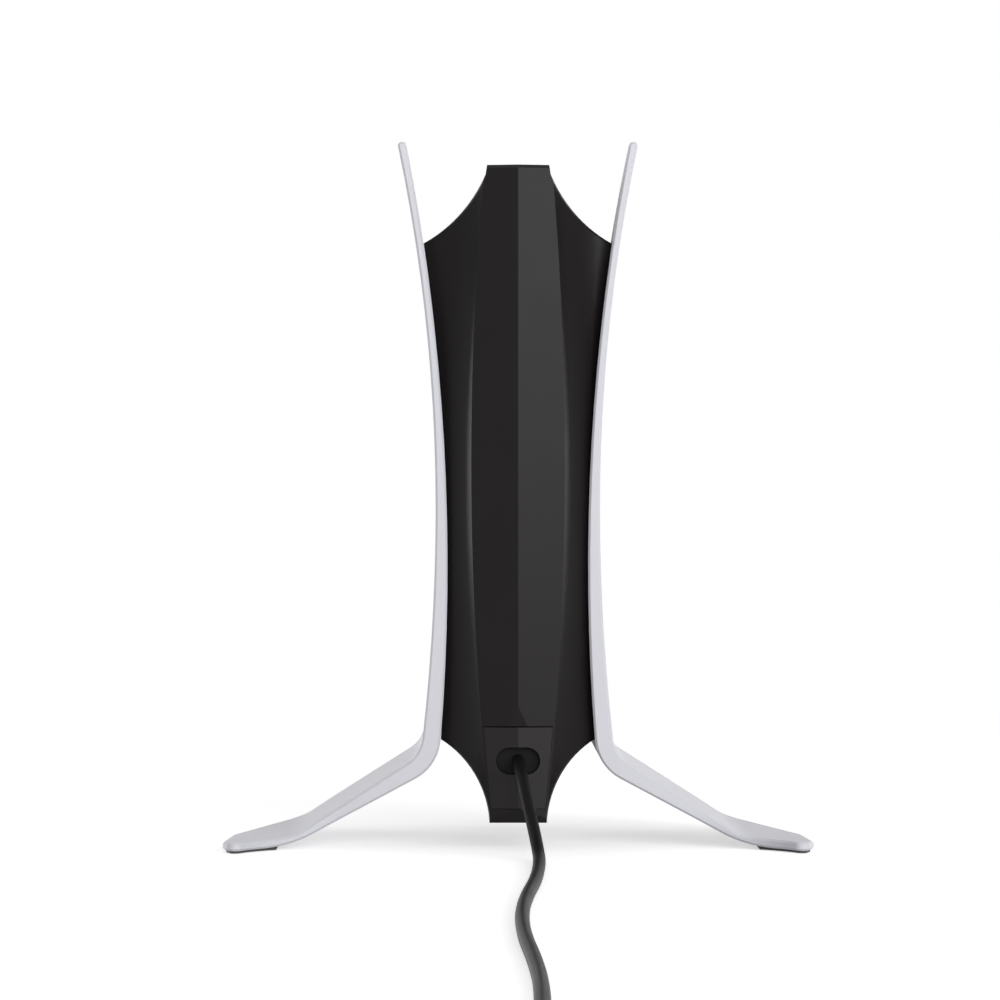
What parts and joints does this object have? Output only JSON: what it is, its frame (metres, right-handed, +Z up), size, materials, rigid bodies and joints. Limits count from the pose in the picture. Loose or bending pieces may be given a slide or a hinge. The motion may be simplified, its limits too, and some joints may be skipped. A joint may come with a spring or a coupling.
{
  "type": "controller charging dock",
  "caption": "Upright charging dock for game controllers: black stepped tower with ridged back, thin white side panels that bend out into feet, and a trailing power cord.",
  "frame": {"origin": "bottom centre of the dock's box, on the surface that it stands on, without the cord", "axes": "+Z up, +Y towards the steps where the controllers dock, -Y towards the ridged back and the cord"},
  "size_m": [0.1739, 0.5437, 0.1907],
  "materials": {
    "panel_white": "satin white moulding",
    "tower_black": "satin black moulding",
    "plate_black": "satin black moulding",
    "pad_rubber": "soft dark rubber",
    "plug_steel": "nickel-plated steel",
    "core_black": "plain black plastic",
    "board_green": "solder mask",
    "lens_clear": "frosted clear plastic",
    "component_black": "moulded black",
    "socket_white": "natural nylon",
    "screw_steel": "zinc-plated steel",
    "wire_grey": "insulated wire",
    "cord_black": "smooth black jacket",
    "tie_black": "flat nylon tie"
  },
  "bodies": {
    "root": {"right_side_panel": "panel_white", "left_side_panel": "panel_white", "right_foot_pad": "pad_rubber", "left_foot_pad": "pad_rubber", "rear_cover": "tower_black", "front_housing": "tower_black", "cable_plate": "plate_black", "cord_grommet": "cord_black", "upper_tread_pad": "pad_rubber", "lower_tread_pad": "pad_rubber", "upper_plug_shell": "plug_steel", "lower_plug_shell": "plug_steel", "upper_plug_core": "core_black", "lower_plug_core": "core_black", "upper_plug_holder": "core_black", "lower_plug_holder": "core_black", "upper_bay_board": "board_green", "lower_bay_board": "board_green", "main_board": "board_green", "upper_led_lens": "lens_clear", "lower_led_lens": "lens_clear", "board_components": "component_black", "wire_sockets": "socket_white", "board_screws": "screw_steel", "right_panel_screws": "screw_steel", "left_panel_screws": "screw_steel", "upper_harness": "wire_grey", "lower_harness": "wire_grey", "supply_lead": "wire_grey", "cord": "cord_black", "cord_coil": "cord_black", "cord_tail": "cord_black", "cord_tie": "tie_black", "cord_plug_body": "cord_black", "cord_plug_shell": "plug_steel", "cord_plug_tongue": "socket_white"}
  },
  "joints": []
}
